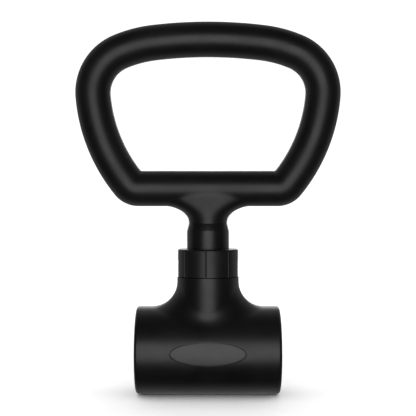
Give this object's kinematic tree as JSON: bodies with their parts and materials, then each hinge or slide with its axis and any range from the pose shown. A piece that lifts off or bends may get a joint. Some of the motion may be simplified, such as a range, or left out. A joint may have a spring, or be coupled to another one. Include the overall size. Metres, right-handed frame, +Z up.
{
  "type": "kettlebell handle",
  "caption": "Kettlebell-style handle with an open grip loop and a hinged clamp jaw, locked by a screw collar, that fastens round the bar of a dumbbell.",
  "frame": {"origin": "centre of the clamp's bore, on the bar's axis and midway between the barrel's ends", "axes": "+X along the bar, +Z up the stem to the grip loop, -Y to the front, where the badge is; the hinge is at the bottom"},
  "size_m": [0.2126, 0.0696, 0.2973],
  "materials": {
    "grip_plastic": "satin black moulded grip",
    "shell_plastic": "satin black moulded shell",
    "sleeve_plastic": "smooth black sleeve",
    "collar_plastic": "satin black collar",
    "badge_plastic": "dark grey blank badge",
    "liner_rubber": "matt black rubber",
    "core_steel": "bright steel",
    "spigot_steel": "phosphated steel",
    "zinc_steel": "zinc plated"
  },
  "bodies": {
    "base": {"grip_skin": "grip_plastic", "bow_core": "core_steel", "rail_core": "core_steel", "stem": "core_steel", "neck_sleeve": "sleeve_plastic", "cross_pin": "core_steel", "stem_washer": "zinc_steel", "stem_nut": "zinc_steel", "threaded_spigot": "spigot_steel", "spigot_screws": "zinc_steel", "front_shell": "shell_plastic", "front_liner": "liner_rubber", "badge": "badge_plastic", "locating_dowels": "core_steel", "hinge_pin": "core_steel", "pin_star_washer": "zinc_steel"},
    "rear_jaw": {"rear_shell": "shell_plastic", "rear_liner": "liner_rubber"},
    "key_washer": {"slip_washer": "zinc_steel"},
    "collar": {"lock_collar": "collar_plastic", "collar_circlip": "core_steel"}
  },
  "joints": [
    {"name": "jaw_open", "type": "hinge", "parent": "base", "child": "rear_jaw", "pos_m": [0, 0, -0.03], "axis": [-1, 0, 0], "range_deg": [0, 70]},
    {"name": "collar_lift", "type": "slide", "parent": "base", "child": "key_washer", "axis": [0, 0, 1], "range_m": [0, 0.015]},
    {"name": "collar_turn", "type": "hinge", "parent": "key_washer", "child": "collar", "pos_m": [0, 0, 0.0697], "axis": [0, 0, 1], "range_deg": [0, 360]}
  ],
  "couplings": [
    {"joint": "collar_lift", "follows": "collar_turn", "m_per_rad": 0.0023873},
    {"joint": "jaw_open", "follows": "collar_turn", "ratio": 0.19444}
  ]
}
